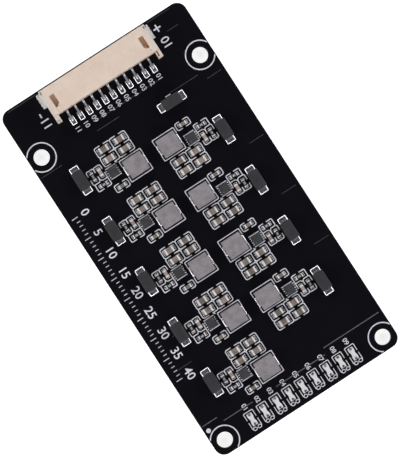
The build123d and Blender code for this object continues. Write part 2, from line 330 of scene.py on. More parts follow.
def epoxy_finish(name, dark, light):
    """Moulded epoxy: dark, with a fine sparked surface."""
    finish = Finish(name, specular=0.4)
    shade = finish.ramp(finish.noise(1.1, 4.0), 0.3, 0.7)
    finish.feed("Base Color", finish.blend(shade, dark, light))
    finish.feed("Roughness", 0.46 + 0.2 * finish.noise(0.15, 4.0))
    finish.bump(finish.noise(0.08, 4.0), 0.012)
    return finish.material


def ceramic_finish(name, dark, light, patch):
    """Fired ceramic, whose shade changes over patches of a size in millimetres."""
    finish = Finish(name, specular=0.45)
    broad = finish.ramp(finish.noise(patch, 1.0), 0.35, 0.65)
    shade = 0.75 * broad + 0.25 * finish.noise(0.2, 4.0)
    finish.feed("Base Color", finish.blend(shade, dark, light))
    finish.feed("Roughness", 0.36 + 0.14 * finish.noise(0.2, 3.0))
    finish.bump(finish.noise(0.1, 3.0), 0.006)
    return finish.material


def lens_finish():
    """Milky clear resin of a lamp."""
    finish = Finish("lamp resin")
    shade = finish.noise(0.6, 3.0)
    finish.feed("Base Color", finish.blend(shade, (0.64, 0.655, 0.665), (0.84, 0.855, 0.86)))
    finish.scatter(0.25, 0.4, 0.5, 0.4)
    finish.feed("Roughness", 0.18 + 0.12 * finish.noise(0.3, 3.0))
    finish.bump(finish.noise(0.4, 2.0), 0.01)
    return finish.material


def nylon_finish():
    """Natural nylon, a mottled cream, paler at the thin ends, with shade painted as a darker brown
    deep in the latch windows.
    """
    finish = Finish("natural nylon", specular=0.35)
    mottle = finish.ramp(0.6 * finish.noise(3.2, 3.0) + 0.4 * finish.noise(0.35, 4.0), 0.3, 0.7)
    cream = finish.blend(mottle, (0.72, 0.575, 0.48), (0.82, 0.69, 0.595))
    pale = finish.blend(mottle, (0.64, 0.57, 0.50), (0.74, 0.67, 0.60))
    across = abs(finish.x)
    thin_from, thin_to = THIN_ENDS
    outer = finish.blend(finish.ramp(across, thin_from * MM, thin_to * MM), cream, pale)
    near, far = WINDOW_ACROSS
    front, back = WINDOW_ALONG
    upper, lower = PAINTED_SHADE_DEPTH
    # Painted shade: the latch windows turn a darker brown the deeper the surface lies, standing in
    # for the shade inside them
    shaded_window = (across > near * MM) * (across < far * MM)
    shaded_window = shaded_window * (finish.y > front * MM) * (finish.y < back * MM)
    painted_shade_depth = finish.ramp(finish.z, cad_high.z - upper * MM, cad_high.z - lower * MM)
    finish.feed("Base Color", finish.blend(shaded_window * painted_shade_depth, outer, (0.76, 0.53, 0.37)))
    finish.scatter(0.12, 0.9, 0.5, 0.3)
    finish.feed("Roughness", 0.42 + 0.18 * finish.noise(0.3, 4.0))
    finish.bump(finish.noise(0.2, 4.0), 0.012)
    return finish.material


FINISHES = {
    "mask": mask_finish(),
    "ink": ink_finish(),
    "faint": faint_finish(),
    "solder": solder_finish(),
    "end": tin_finish("tinned ends", (0.58, 0.56, 0.55), (0.88, 0.86, 0.84), 0.42, 0.45),
    "lead": tin_finish("tinned leads", (0.06, 0.06, 0.07), (0.17, 0.17, 0.185), 0.36),
    "wire": tin_finish("tinned wire", (0.34, 0.34, 0.37), (0.62, 0.62, 0.66), 0.26),
    "terminal": tin_finish("inductor terminals", (0.26, 0.25, 0.26), (0.40, 0.385, 0.40), 0.5),
    "powder": powder_finish(),
    "chip": epoxy_finish("chip epoxy", (0.026, 0.026, 0.030), (0.040, 0.040, 0.045)),
    "diode": epoxy_finish("diode epoxy", (0.0160, 0.0150, 0.0185), (0.0260, 0.0245, 0.0290)),
    "bulk": ceramic_finish("brown ceramic", (0.105, 0.088, 0.080), (0.33, 0.265, 0.245), 1.9),
    "tan": ceramic_finish("tan ceramic", (0.125, 0.100, 0.096), (0.25, 0.20, 0.19), 3.4),
    "rose": ceramic_finish("rose ceramic", (0.26, 0.20, 0.19), (0.42, 0.34, 0.32), 3.4),
    "glaze": ceramic_finish("black glaze", (0.010, 0.010, 0.012), (0.022, 0.022, 0.024), 2.0),
    "alumina": ceramic_finish("white ceramic base", (0.55, 0.54, 0.53), (0.68, 0.67, 0.66), 2.0),
    "lens": lens_finish(),
    "nylon": nylon_finish(),
}


# Geometry Nodes

class Recipe:
    """A Geometry Nodes tree while it is being written, with named inputs for its sizes."""

    def __init__(self, name, inputs):
        self.tree = bpy.data.node_groups.new(name, "GeometryNodeTree")
        interface = self.tree.interface
        interface.new_socket("Geometry", in_out="INPUT", socket_type="NodeSocketGeometry")
        for label, kind in inputs.items():
            interface.new_socket(label, in_out="INPUT", socket_type=kind)
        interface.new_socket("Geometry", in_out="OUTPUT", socket_type="NodeSocketGeometry")
        self.start = self.tree.nodes.new("NodeGroupInput").outputs

    def add(self, kind, settings=None, inputs=None, output=0):
        """Makes any node and gives one of its outputs."""
        return new_node(self.tree, kind, settings, inputs).outputs[output]

    def attribute(self, name, kind):
        return self.add("GeometryNodeInputNamedAttribute", {"data_type": kind}, {"Name": name})

    def maths(self, operation, first, second):
        return self.add("ShaderNodeMath", {"operation": operation}, {0: first, 1: second})

    def vector(self, operation, first, second, socket=1):
        inputs = {0: first, socket: second}
        return self.add("ShaderNodeVectorMath", {"operation": operation}, inputs)

    def stood_in(self, label):
        """The shape of the object that one of the inputs names."""
        inputs = {"Object": self.start[label]}
        return self.add("GeometryNodeObjectInfo", inputs=inputs, output="Geometry")

    def end(self, geometry):
        real = self.add("GeometryNodeRealizeInstances", inputs={0: geometry})
        inputs = {"Geometry": real, "Material": self.start["Material"]}
        coated = self.add("GeometryNodeSetMaterial", inputs=inputs)
        self.tree.links.new(coated, self.tree.nodes.new("NodeGroupOutput").inputs[0])
        return self.tree


def copies_recipe():
    """Sets a copy of a pattern piece on every point, turned as the point says."""
    kinds = {"Pattern": "NodeSocketObject", "Material": "NodeSocketMaterial"}
    recipe = Recipe("copies of a piece", kinds)
    pattern = recipe.stood_in("Pattern")
    turn = recipe.add("ShaderNodeCombineXYZ", inputs={"Z": recipe.attribute("turn", "FLOAT")})
    inputs = {"Points": recipe.start["Geometry"], "Instance": pattern, "Rotation": turn}
    return recipe.end(recipe.add("GeometryNodeInstanceOnPoints", inputs=inputs))


def lines_recipe():
    """Draws flat printed lines along edges, with their corners rounded."""
    kinds = {
        "Line Width": "NodeSocketFloat",
        "Ink Thickness": "NodeSocketFloat",
        "Material": "NodeSocketMaterial",
    }
    recipe = Recipe("printed lines", kinds)
    curve = recipe.add("GeometryNodeMeshToCurve", inputs={"Mesh": recipe.start["Geometry"]})
    corner = recipe.attribute("corner", "FLOAT")
    inputs = {"Curve": curve, "Count": ARC_STEPS, "Radius": corner, "Limit Radius": True}
    curve = recipe.add("GeometryNodeFilletCurve", {"mode": "POLY"}, inputs)
    curve = recipe.add("GeometryNodeSetCurveNormal", {"mode": "Z_UP"}, {"Curve": curve})
    sizes = {"Width": recipe.start["Line Width"], "Height": recipe.start["Ink Thickness"]}
    profile = recipe.add("GeometryNodeCurvePrimitiveQuadrilateral", inputs=sizes)
    inputs = {"Curve": curve, "Profile Curve": profile, "Fill Caps": True}
    return recipe.end(recipe.add("GeometryNodeCurveToMesh", inputs=inputs))


# The flat top of the smallest joint keeps this share of its land
LEAST_TOP = 0.2


def lands_recipe():
    """Swells solder on every land: a sloping rim of one width all round a flat top."""
    kinds = {
        "Rim Shape": "NodeSocketObject",
        "Wide Rim": "NodeSocketFloat",
        "Narrow Rim": "NodeSocketFloat",
        "Least Half For Wide Rim": "NodeSocketFloat",
        "Material": "NodeSocketMaterial",
    }
    recipe = Recipe("solder lands", kinds)
    inputs = {"Points": recipe.start["Geometry"], "Instance": recipe.stood_in("Rim Shape")}
    gathered = recipe.add("GeometryNodeInstanceOnPoints", inputs=inputs)
    gathered = recipe.add("GeometryNodeRealizeInstances", inputs={0: gathered})
    half = recipe.attribute("half", "FLOAT_VECTOR")
    halves = recipe.add("ShaderNodeSeparateXYZ", inputs={0: half}).node.outputs
    narrow, wide = recipe.start["Narrow Rim"], recipe.start["Wide Rim"]
    least_half = recipe.maths("MINIMUM", halves["X"], halves["Y"])
    is_wide = recipe.maths("GREATER_THAN", least_half, recipe.start["Least Half For Wide Rim"])
    extra = recipe.maths("MULTIPLY", is_wide, recipe.maths("SUBTRACT", wide, narrow))
    rim_width = recipe.maths("ADD", narrow, extra)
    drawn_in = recipe.vector("SCALE", recipe.attribute("draw", "FLOAT_VECTOR"), rim_width, "Scale")
    reach = recipe.vector("SUBTRACT", half, drawn_in)
    reach = recipe.vector("MAXIMUM", reach, recipe.vector("SCALE", half, LEAST_TOP, "Scale"))
    offset = recipe.vector("MULTIPLY", recipe.attribute("side", "FLOAT_VECTOR"), reach)
    inputs = {"Geometry": gathered, "Offset": offset}
    spread = recipe.add("GeometryNodeSetPosition", inputs=inputs)
    return recipe.end(recipe.add("GeometryNodeSetShadeSmooth", inputs={"Geometry": spread}))


COPIES = copies_recipe()
LINES = lines_recipe()
LANDS = lands_recipe()


def grown(name, seed_mesh, tree, values):
    """Runs a tree on a seed mesh and keeps the result as a plain mesh piece."""
    grower = in_scene(name + "_seed", seed_mesh)
    modifier = grower.modifiers.new("grow", "NODES")
    modifier.node_group = tree
    for item in tree.interface.items_tree:
        if item.in_out == "INPUT" and item.name in values:
            modifier[item.identifier] = values[item.name]
    mesh = result_mesh(grower)
    grower.modifiers.remove(modifier)
    bpy.data.objects.remove(grower)
    return piece(name, mesh, values["Material"])


def piece(name, mesh, material):
    """A finished piece at the origin, in one material."""
    mesh.name = name
    mesh.materials.clear()
    mesh.materials.append(material)
    return in_scene(name, mesh)


def keep(made, nodes=()):
    """Gives a piece its body and hides the nodes that it stands for."""
    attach(made, BODY)
    if nodes:
        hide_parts(*nodes)


def give_points(mesh, name, kind, values):
    """Writes a value at every point of a mesh, for a tree to read."""
    attribute = mesh.attributes.new(name, kind, "POINT")
    field = "value" if kind == "FLOAT" else "vector"
    for entry, value in zip(attribute.data, values):
        setattr(entry, field, value)


def copies(name, pattern, places, height, finish, smooth=True):
    """Sets copies of a pattern mesh on (x, y, turn) places."""
    for polygon in pattern.polygons:
        polygon.use_smooth = smooth
    seeds = bpy.data.meshes.new("seeds")
    seeds.from_pydata([(x * MM, y * MM, height * MM) for x, y, _ in places], [], [])
    give_points(seeds, "turn", "FLOAT", [turn for _, _, turn in places])
    model = in_scene(name + "_pattern", pattern)
    made = grown(name, seeds, COPIES, {"Pattern": model, "Material": FINISHES[finish]})
    bpy.data.objects.remove(model)
    return made


# Pattern pieces

def mesh_of(*parts):
    """Joins bmesh parts into one mesh with outward faces."""
    mesh = bpy.data.meshes.new("pattern")
    whole = bmesh.new()
    for part in parts:
        loose = bpy.data.meshes.new("part")
        part.to_mesh(loose)
        whole.from_mesh(loose)
        bpy.data.meshes.remove(loose)
        part.free()
    bmesh.ops.recalc_face_normals(whole, faces=whole.faces)
    whole.to_mesh(mesh)
    whole.free()
    return mesh


def round_edges(part, edge, steps):
    """Rounds every edge of a part."""
    bmesh.ops.bevel(
        part, geom=part.edges[:], offset=edge * MM, segments=steps, affect="EDGES", profile=0.5
    )


def block(corner, other, edge, steps, draft=0.0):
    """A block between two corners, its top drawn in by the draft, its edges rounded."""
    low, high = Vector([*map(min, corner, other)]) * MM, Vector([*map(max, corner, other)]) * MM
    part = bmesh.new()
    bmesh.ops.create_cube(part, size=1.0)
    centre, size = (low + high) / 2, high - low
    for vertex in part.verts:
        inward = 2 * draft * MM if vertex.co.z > 0 else 0.0
        x = vertex.co.x * (size.x - inward)
        y = vertex.co.y * (size.y - inward)
        vertex.co = Vector((x, y, vertex.co.z * size.z)) + centre
    round_edges(part, edge, steps)
    return part


def prism(outline, low, high, edge=0.0):
    """A solid straight up from an outline, its edges rounded."""
    part = bmesh.new()
    face = part.faces.new([part.verts.new(Vector((x, y, low)) * MM) for x, y in outline])
    lifted = bmesh.ops.extrude_face_region(part, geom=[face])["geom"]
    lifted = [item for item in lifted if isinstance(item, bmesh.types.BMVert)]
    bmesh.ops.translate(part, verts=lifted, vec=(0, 0, (high - low) * MM))
    if edge:
        round_edges(part, edge, 2)
    return part


def rounded_path(points, radius):
    """Points along straight runs with an arc at every corner."""
    points = [Vector(point) for point in points]
    path = [points[0]]
    for before, corner, after in zip(points, points[1:], points[2:]):
        into = (before - corner).normalized()
        out = (after - corner).normalized()
        half = into.angle(out) / 2
        back = radius / math.tan(half)
        centre = corner + (into + out).normalized() * (radius / math.sin(half))
        first = corner + into * back - centre
        last = corner + out * back - centre
        for step in range(ARC_STEPS + 1):
            path.append(centre + first.slerp(last, step / ARC_STEPS) * radius)
    path.append(points[-1])
    return path


def strip(points, radius, width, thickness, across, soft):
    """A bent strip of metal that follows rounded runs, its edges cut back by a soft corner."""
    part = bmesh.new()
    path = rounded_path(points, radius)
    across = Vector(across)
    half_w, half_t = width / 2, thickness / 2
    ring = [
        (half_w - soft, half_t), (half_w, half_t - soft),
        (half_w, soft - half_t), (half_w - soft, -half_t),
        (soft - half_w, -half_t), (-half_w, soft - half_t),
        (-half_w, half_t - soft), (soft - half_w, half_t),
    ]
    rings = []
    for index, point in enumerate(path):
        ahead = path[min(index + 1, len(path) - 1)] - path[max(index - 1, 0)]
        up = across.cross(ahead).normalized()
        rings.append([part.verts.new((point + across * a + up * b) * MM) for a, b in ring])
    for first, second in zip(rings, rings[1:]):
        for index in range(len(ring)):
            after = (index + 1) % len(ring)
            part.faces.new((first[index], first[after], second[after], second[index]))
    part.faces.new(rings[0])
    part.faces.new(rings[-1])
    return part


def flipped(points, side_x, side_y):
    """The same points on another side: 1 leaves a direction as it is, and -1 turns it over."""
    return [(side_x * x, side_y * y, z) for x, y, z in points]


def joined(node, distance):
    """A node's loose triangles, joined where their corners are within a distance."""
    part = bmesh.new()
    part.from_mesh(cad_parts[node].data)
    bmesh.ops.remove_doubles(part, verts=part.verts, dist=distance * MM)
    return part


def bevelled(name, node, finish, edge):
    """A copy of a node's solid with softened edges."""
    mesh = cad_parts[node].data.copy()
    part = joined(node, 0.002)
    flat = math.radians(1)
    bmesh.ops.dissolve_limit(part, angle_limit=flat, verts=part.verts, edges=part.edges)
    part.to_mesh(mesh)
    part.free()
    made = piece(name, mesh, FINISHES[finish])
    modifier = made.modifiers.new("soft edges", "BEVEL")
    modifier.width = edge * MM
    modifier.segments = 2
    modifier.limit_method = "ANGLE"
    modifier.angle_limit = math.radians(40)
    finished = result_mesh(made)
    made.modifiers.clear()
    made.data = finished
    for polygon in finished.polygons:
        polygon.use_smooth = False
    return made


# Components, whose places in a cell are seen from its inductor

ALONG_X, ALONG_Y = (1, 0, 0), (0, 1, 0)

INDUCTOR_SIZE = (4.4, 4.2, 2.0)
INDUCTOR_LIFT = 0.19
TERMINAL_HALF_WIDTH, TERMINAL_HALF_SLOT = 1.0, 0.175
TERMINAL_THICKNESS, TERMINAL_BEND = 0.15, 0.16
TERMINAL_RISE = 1.1
TERMINAL_REACH_IN, TERMINAL_REACH_UNDER = 0.3, 1.1

CHIP_SPOT = (4.7, -1.4)
CHIP_HALF, CHIP_HEIGHT = 1.0, 0.75
CHIP_MARK = (-0.6, -0.6, 0.16)

BULK_SPOTS = [(0.0, -4.08, 0.0), (3.85, -4.08, 0.0), (0.0, -6.38, 0.0), (3.85, -6.38, 0.0)]
SUPPLY_SPOT = (4.72, 2.1, 0.0)
SWITCH_SPOT = (7.07, -2.7, QUARTER_TURN)
LYING_SPOT = (7.8, -0.2, 0.0)
STANDING_SPOT = (8.85, -2.75, QUARTER_TURN)
BULK_SIZE, BULK_CAP = (2.0, 1.3, 1.25), 0.42
SMALL_SIZE, SUPPLY_CAP, SWITCH_CAP = (1.6, 0.8, 0.8), 0.34, 0.38
RESISTOR_SIZE, RESISTOR_CAP = (1.6, 0.8, 0.45), 0.26
# A metal cap stands this far proud of the ceramic
CAP_PROUD = 0.03
RESISTOR_FIGURE, RESISTOR_FIGURE_LEVEL = 0.42, 0.43

DIODE_HALF_WIDTH, DIODE_HALF_LENGTH = 1.25, 2.1
DIODE_FOOT, DIODE_PARTING, DIODE_HEIGHT = 0.26, 1.05, 2.2
DIODE_UPPER_TAPER, DIODE_LOWER_TAPER, DIODE_OVERLAP = 0.12, 0.11, 0.01
DIODE_LEAD = [(0, 1.8, 1.05), (0, 2.38, 1.05), (0, 2.38, 0.1), (0, 1.38, 0.1)]
DIODE_LEAD_WIDTH, DIODE_LEAD_THICKNESS, DIODE_LEAD_BEND = 1.45, 0.2, 0.22

# The right side of a lamp's resin, from its top notch to its bottom notch
LENS_SIDE = [
    (0.0, 0.60), (0.22, 0.92), (0.56, 0.92), (0.60, 0.62), (0.50, 0.30), (0.46, 0.0),
    (0.50, -0.30), (0.60, -0.62), (0.56, -0.92), (0.20, -0.92), (0.0, -0.72),
]
LAMP_FOOT, LAMP_BASE_TOP, LAMP_HEIGHT = 0.04, 0.38, 0.85
LAMP_BASE_SHARE = 0.97
LAMP_END = [(0.22, 0.72, 0.0), (0.625, 1.0, 0.4)]
LAMP_BRIDGE = [(-0.3, 0.7, 0.0), (0.3, 0.8, 0.38)]
# Solder runs down from each half of an end as a straight horn
LAMP_HORN = [(0.43, 0.97, 0.31), (0.43, 1.4, 0.06)]
HORN_WIDTH, HORN_THICKNESS = 0.32, 0.08

CONTACT_LEVEL = 4.03
CONTACT_WIDTH, CONTACT_THICKNESS, CONTACT_BEND = 0.45, 0.4, 0.3
CONTACT_FOOT, CONTACT_SLOPE = 0.7, 1.4


def numbered(stem, numbers):
    """Names of nodes that share a stem."""
    return [f"{stem}_{number}" for number in numbers]


def make_inductors():
    """Pressed blocks and their folded, slotted terminals."""
    length, width, height = INDUCTOR_SIZE
    half_l, half_w = length / 2, width / 2
    nodes = numbered("power_inductor", CELLS)
    places = in_cells([(0, 0, 0)])
    body = block((-half_l, -half_w, INDUCTOR_LIFT), (half_l, half_w, height), edge=0.16, steps=3)
    made = copies("inductor_blocks", mesh_of(body), places, SEAT, "powder")
    keep(made, nodes)
    outer, sole = half_l + TERMINAL_THICKNESS / 2, TERMINAL_THICKNESS / 2
    lobe_width = TERMINAL_HALF_WIDTH - TERMINAL_HALF_SLOT
    lobe_middle = (TERMINAL_HALF_WIDTH + TERMINAL_HALF_SLOT) / 2
    runs = [
        (half_l - TERMINAL_REACH_IN, lobe_middle, TERMINAL_RISE),
        (outer, lobe_middle, TERMINAL_RISE),
        (outer, lobe_middle, sole),
        (half_l - TERMINAL_REACH_UNDER, lobe_middle, sole),
    ]
    lobes = []
    for side_y in (1, -1):
        for side_x in (1, -1):
            lobe = flipped(runs, side_x, side_y)
            lobes.append(strip(lobe, TERMINAL_BEND, lobe_width, TERMINAL_THICKNESS, ALONG_Y, 0.04))
    made = copies("inductor_terminals", mesh_of(*lobes), places, SEAT, "terminal")
    keep(made, nodes)


def make_chips():
    """Leadless packages, each with a faint mark at its first lead."""
    half = CHIP_HALF
    body = block((-half, -half, 0.0), (half, half, CHIP_HEIGHT), edge=0.05, steps=2)
    places = in_cells([(*CHIP_SPOT, 0)])
    made = copies("chip_packages", mesh_of(body), places, SEAT, "chip")
    keep(made, numbered("balancer_chip", CELLS))
    mark = prism(circle(*CHIP_MARK, steps=16)[:-1], 0.0, INK_THICKNESS)
    made = copies("first_lead_marks", mesh_of(mark), places, SEAT + CHIP_HEIGHT, "faint")
    keep(made)


def make_end_capped(name, spots, size, cap, core_finish, nodes):
    """Ceramic pieces with a metal cap over each end."""
    length, width, height = size
    half_l, half_w = length / 2, width / 2
    core_low = (cap / 2 - half_l, CAP_PROUD - half_w, CAP_PROUD)
    core_high = (half_l - cap / 2, half_w - CAP_PROUD, height - CAP_PROUD)
    core = block(core_low, core_high, edge=0.04, steps=1)
    places = in_cells(spots)
    keep(copies(name + "_cores", mesh_of(core), places, SEAT, core_finish), nodes)
    end = [(half_l - cap, -half_w, 0.0), (half_l, half_w, height)]
    ends = [block(*flipped(end, side, 1), edge=0.1, steps=3) for side in (-1, 1)]
    keep(copies(name + "_ends", mesh_of(*ends), places, SEAT, "end"), nodes)


def make_passives():
    """Every capacitor and resistor of the cells."""
    bulk_nodes = numbered("bulk_capacitors", CELLS)
    make_end_capped(
        "bulk_capacitor", BULK_SPOTS, BULK_SIZE, BULK_CAP, "bulk", bulk_nodes
    )
    singles = [
        ("supply_capacitor", SUPPLY_SPOT, SMALL_SIZE, SUPPLY_CAP, "tan", "tan_ceramic"),
        ("switch_capacitor", SWITCH_SPOT, SMALL_SIZE, SWITCH_CAP, "rose", "tan_ceramic"),
        ("lying_resistor", LYING_SPOT, RESISTOR_SIZE, RESISTOR_CAP, "glaze", "resistor_glaze"),
        (
            "standing_resistor", STANDING_SPOT, RESISTOR_SIZE, RESISTOR_CAP,
            "glaze", "resistor_glaze",
        ),
    ]
    for name, spot, size, cap, finish, slot_name in singles:
        make_end_capped(name, [spot], size, cap, finish, [name + "s"])
    figure = figure_mesh("00", RESISTOR_FIGURE)
    places = in_cells([LYING_SPOT, STANDING_SPOT])
    made = copies("resistor_figures", figure, places, SEAT + RESISTOR_FIGURE_LEVEL, "ink")
    keep(made)


def diode_places():
    """Centre and turn of every diode."""
    places = []
    for node in numbered("diode", DIODES):
        low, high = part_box(node)
        spot = middle(node)
        lies_along_x = (high - low).x > (high - low).y
        places.append((spot.x, spot.y, QUARTER_TURN if lies_along_x else 0.0))
    return places


def make_diodes():
    """Moulded bodies, tapered from the parting line, with leads folded under."""
    half_w, half_l = DIODE_HALF_WIDTH, DIODE_HALF_LENGTH
    upper = block(
        (-half_w, -half_l, DIODE_PARTING), (half_w, half_l, DIODE_HEIGHT),
        edge=0.07, steps=2, draft=DIODE_UPPER_TAPER,
    )
    half_w, half_l = half_w - DIODE_UPPER_TAPER, half_l - DIODE_UPPER_TAPER
    lower = block(
        (-half_w, -half_l, DIODE_FOOT), (half_w, half_l, DIODE_PARTING + DIODE_OVERLAP),
        edge=0.05, steps=1, draft=-DIODE_LOWER_TAPER,
    )
    nodes = numbered("diode", DIODES)
    places = diode_places()
    made = copies("diode_bodies", mesh_of(upper, lower), places, SEAT, "diode")
    keep(made, nodes)
    leads = []
    for side in (1, -1):
        lead = flipped(DIODE_LEAD, 1, side)
        leads.append(
            strip(lead, DIODE_LEAD_BEND, DIODE_LEAD_WIDTH, DIODE_LEAD_THICKNESS, ALONG_X, 0.05)
        )
    keep(copies("diode_leads", mesh_of(*leads), places, SEAT, "lead"), nodes)


def lamp_places():
    """Centre of every indicator lamp, unturned."""
    spots = [middle(node) for node in numbered("indicator_lamp", LAMPS)]
    return [(spot.x, spot.y, 0.0) for spot in spots]


def make_lamps():
    """Lamps: a white base and a waisted resin block, with plated ends in two halves."""
    nodes = numbered("indicator_lamp", LAMPS)
    places = lamp_places()
    outline = LENS_SIDE + [(-x, y) for x, y in reversed(LENS_SIDE[1:-1])]
    base_outline = [(LAMP_BASE_SHARE * x, LAMP_BASE_SHARE * y) for x, y in outline]
    base = prism(base_outline, LAMP_FOOT, LAMP_BASE_TOP)
    made = copies("lamp_bases", mesh_of(base), places, SEAT, "alumina", smooth=False)
    keep(made, nodes)
    lens = prism(outline, LAMP_BASE_TOP, LAMP_HEIGHT, edge=0.05)
    keep(copies("lamp_lenses", mesh_of(lens), places, SEAT, "lens"), nodes)
    ends = []
    for side_y in (-1, 1):
        for side_x in (-1, 1):
            ends.append(block(*flipped(LAMP_END, side_x, side_y), edge=0.05, steps=2))
            horn = flipped(LAMP_HORN, side_x, side_y)
            ends.append(strip(horn, 0.0, HORN_WIDTH, HORN_THICKNESS, ALONG_X, 0.02))
        ends.append(block(*flipped(LAMP_BRIDGE, 1, side_y), edge=0.03, steps=1))
    keep(copies("lamp_ends", mesh_of(*ends), places, SEAT, "end"), nodes)


def contact_columns():
    """Where every contact stands across the board."""
    centre = middle("connector_contacts").x
    steps = [number - (CONTACTS - 1) / 2 for number in range(CONTACTS)]
    return [centre + step * CONTACT_PITCH for step in steps]


def make_connector():
    """Housing with softened edges, contacts and hold-down tabs."""
    housing = bevelled("connector_shell", "connector_housing", "nylon", 0.05)
    keep(housing, ["connector_housing"])
    low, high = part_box("connector_contacts")
    toe, tip = high.y / MM, low.y / MM
    heel = toe - CONTACT_FOOT
    shoulder = heel - CONTACT_SLOPE
    pin, sole = CONTACT_LEVEL - SEAT, CONTACT_THICKNESS / 2
    runs = [(0, tip, pin), (0, shoulder, pin), (0, heel, sole), (0, toe, sole)]
    wire = strip(runs, CONTACT_BEND, CONTACT_WIDTH, CONTACT_THICKNESS, ALONG_X, 0.06)
    places = [(x, 0.0, 0.0) for x in contact_columns()]
    made = copies("contact_wires", mesh_of(wire), places, SEAT, "wire")
    keep(made, ["connector_contacts"])
    tabs = bevelled("hold_down_tabs", "connector_tabs", "end", 0.04)
    keep(tabs, ["connector_tabs"])


# Rings of a solder joint: how far each is drawn in, in rim widths, and its share of the height
RIM_RINGS = [(0.0, 0.0), (0.08, 0.25), (0.55, 0.68), (1.0, 1.0), (1.5, 0.97)]
RIM_CORNER = [(0.0, 0.7), (0.2, 0.2), (0.7, 0.0)]
WIDE_RIM, NARROW_RIM = 0.16, 0.05
WIDE_RIM_FROM = 0.55
# Solder stands this far above the seat of the components
SOLDER_SWELL = 0.03


def rim_shape():
    """Rings that the lands' tree spreads: each point knows its side and how far it is drawn in."""
    sides, draws, faces = [], [], []
    for draw, level in RIM_RINGS:
        for side_x, side_y in ((1, 1), (-1, 1), (-1, -1), (1, -1)):
            corner = RIM_CORNER if side_x * side_y > 0 else RIM_CORNER[::-1]
            for cut_x, cut_y in corner:
                sides.append((side_x, side_y, level))
                draws.append((draw + cut_x, draw + cut_y, 0.0))
    count = 4 * len(RIM_CORNER)
    for ring_number in range(len(RIM_RINGS) - 1):
        for index in range(count):
            low = ring_number * count + index
            after = ring_number * count + (index + 1) % count
            faces.append((low, after, after + count, low + count))
    faces.append(tuple(range(count * (len(RIM_RINGS) - 1), count * len(RIM_RINGS))))
    mesh = bpy.data.meshes.new("rim shape")
    mesh.from_pydata([(0, 0, 0)] * len(sides), [], faces)
    give_points(mesh, "side", "FLOAT_VECTOR", sides)
    give_points(mesh, "draw", "FLOAT_VECTOR", draws)
    return mesh


def land_boxes():
    """Low and high x and y of every solid of the lands node, in a steady order."""
    part = joined("solder_lands", 0.001)
    left = set(part.verts)
    boxes = []
    while left:
        island, front = set(), [left.pop()]
        while front:
            vertex = front.pop()
            island.add(vertex)
            for edge in vertex.link_edges:
                other = edge.other_vert(vertex)
                if other in left:
                    left.discard(other)
                    front.append(other)
        xs = [vertex.co.x for vertex in island]
        ys = [vertex.co.y for vertex in island]
        boxes.append((min(xs), min(ys), max(xs), max(ys)))
    part.free()
    return sorted(boxes, key=lambda box: [round(value, 6) for value in box])


def make_lands():
    """Solder lands: one swollen joint for each solid of the lands node."""
    centres, halves = [], []
    for x0, y0, x1, y1 in land_boxes():
        centres.append(((x0 + x1) / 2, (y0 + y1) / 2, BOARD_TOP * MM))
        halves.append(((x1 - x0) / 2, (y1 - y0) / 2, (LAND_HEIGHT + SOLDER_SWELL) * MM))
    mesh = bpy.data.meshes.new("land places")
    mesh.from_pydata(centres, [], [])
    give_points(mesh, "half", "FLOAT_VECTOR", halves)
    rim = in_scene("rim shape", rim_shape())
    values = {
        "Rim Shape": rim,
        "Wide Rim": WIDE_RIM * MM,
        "Narrow Rim": NARROW_RIM * MM,
        "Least Half For Wide Rim": WIDE_RIM_FROM * MM,
        "Material": FINISHES["solder"],
    }
    keep(grown("solder_joints", mesh, LANDS, values), ["solder_lands"])
    bpy.data.objects.remove(rim)


# Printing: each line is its points and the radius of its corners

CELL_LINES = [
    ([(-2.6, 1.2), (-2.6, 2.55), (2.6, 2.55), (2.6, 1.2)], 0.15),
    ([(-2.6, -1.05), (-2.6, -2.45), (2.6, -2.45), (2.6, -1.05)], 0.15),
    ([(3.35, -0.2), (5.9, -0.2)], 0),
    ([(3.4, -2.6), (5.9, -2.6)], 0),
    ([(4.3, 2.88), (3.12, 2.88), (3.12, 1.3), (4.3, 1.3)], 0.35),
    ([(5.05, 2.88), (6.32, 2.88), (6.32, 1.3), (5.05, 1.3)], 0.35),
    ([(7.45, 0.6), (6.3, 0.6), (6.3, -2.35)], 0.2),
    ([(8.15, 0.6), (9.45, 0.6), (9.45, -0.95)], 0.2),
    ([(6.3, -1.08), (7.5, -1.08), (7.93, -1.45), (7.93, -2.35)], 0.25),
    ([(7.97, -2.35), (7.97, -1.5), (8.2, -1.08), (9.7, -1.08), (9.7, -2.35)], 0.3),
    ([(6.3, -3.15), (6.3, -4.22), (7.92, -4.22), (7.92, -3.15)], 0.3),
    ([(7.98, -3.15), (7.98, -4.22), (9.7, -4.22), (9.7, -3.15)], 0.3),
] + [
    ([(gap_x, high_y), (far_x, high_y), (far_x, low_y), (gap_x, low_y)], 0.38)
    for high_y, low_y in ((-3.02, -5.22), (-5.26, -7.45))
    for gap_x, far_x in ((-0.4, -1.82), (0.4, 1.9), (3.35, 1.92), (4.2, 5.62))
] + [
    ([(2.92, -2.62), (3.30, -3.0)], 0),
]
LAMP_LINES = [
    ([
        (-1.12, 0.3), (-1.12, 1.85), (-0.85, 2.35), (-0.35, 2.35), (-0.04, 1.9),
        (0.27, 2.35), (0.77, 2.35), (1.05, 1.85), (1.05, 0.3),
    ], 0.2),
    ([(-1.0, 1.9), (-0.6, 1.62), (-0.2, 1.9)], 0.2),
    ([(0.12, 1.9), (0.52, 1.62), (0.92, 1.9)], 0.2),
    ([(-1.12, -0.2), (-1.12, -1.8), (1.05, -1.8), (1.05, -0.2)], 0.15),
]
BROAD_TRACKS = [
    ((-21.7, 34.8), (-8.0, 34.8)), ((18.5, 34.8), (22.0, 34.8)),
    ((-7.5, 36.15), (4.7, 36.15)), ((10.5, 36.15), (17.7, 36.15)),
]
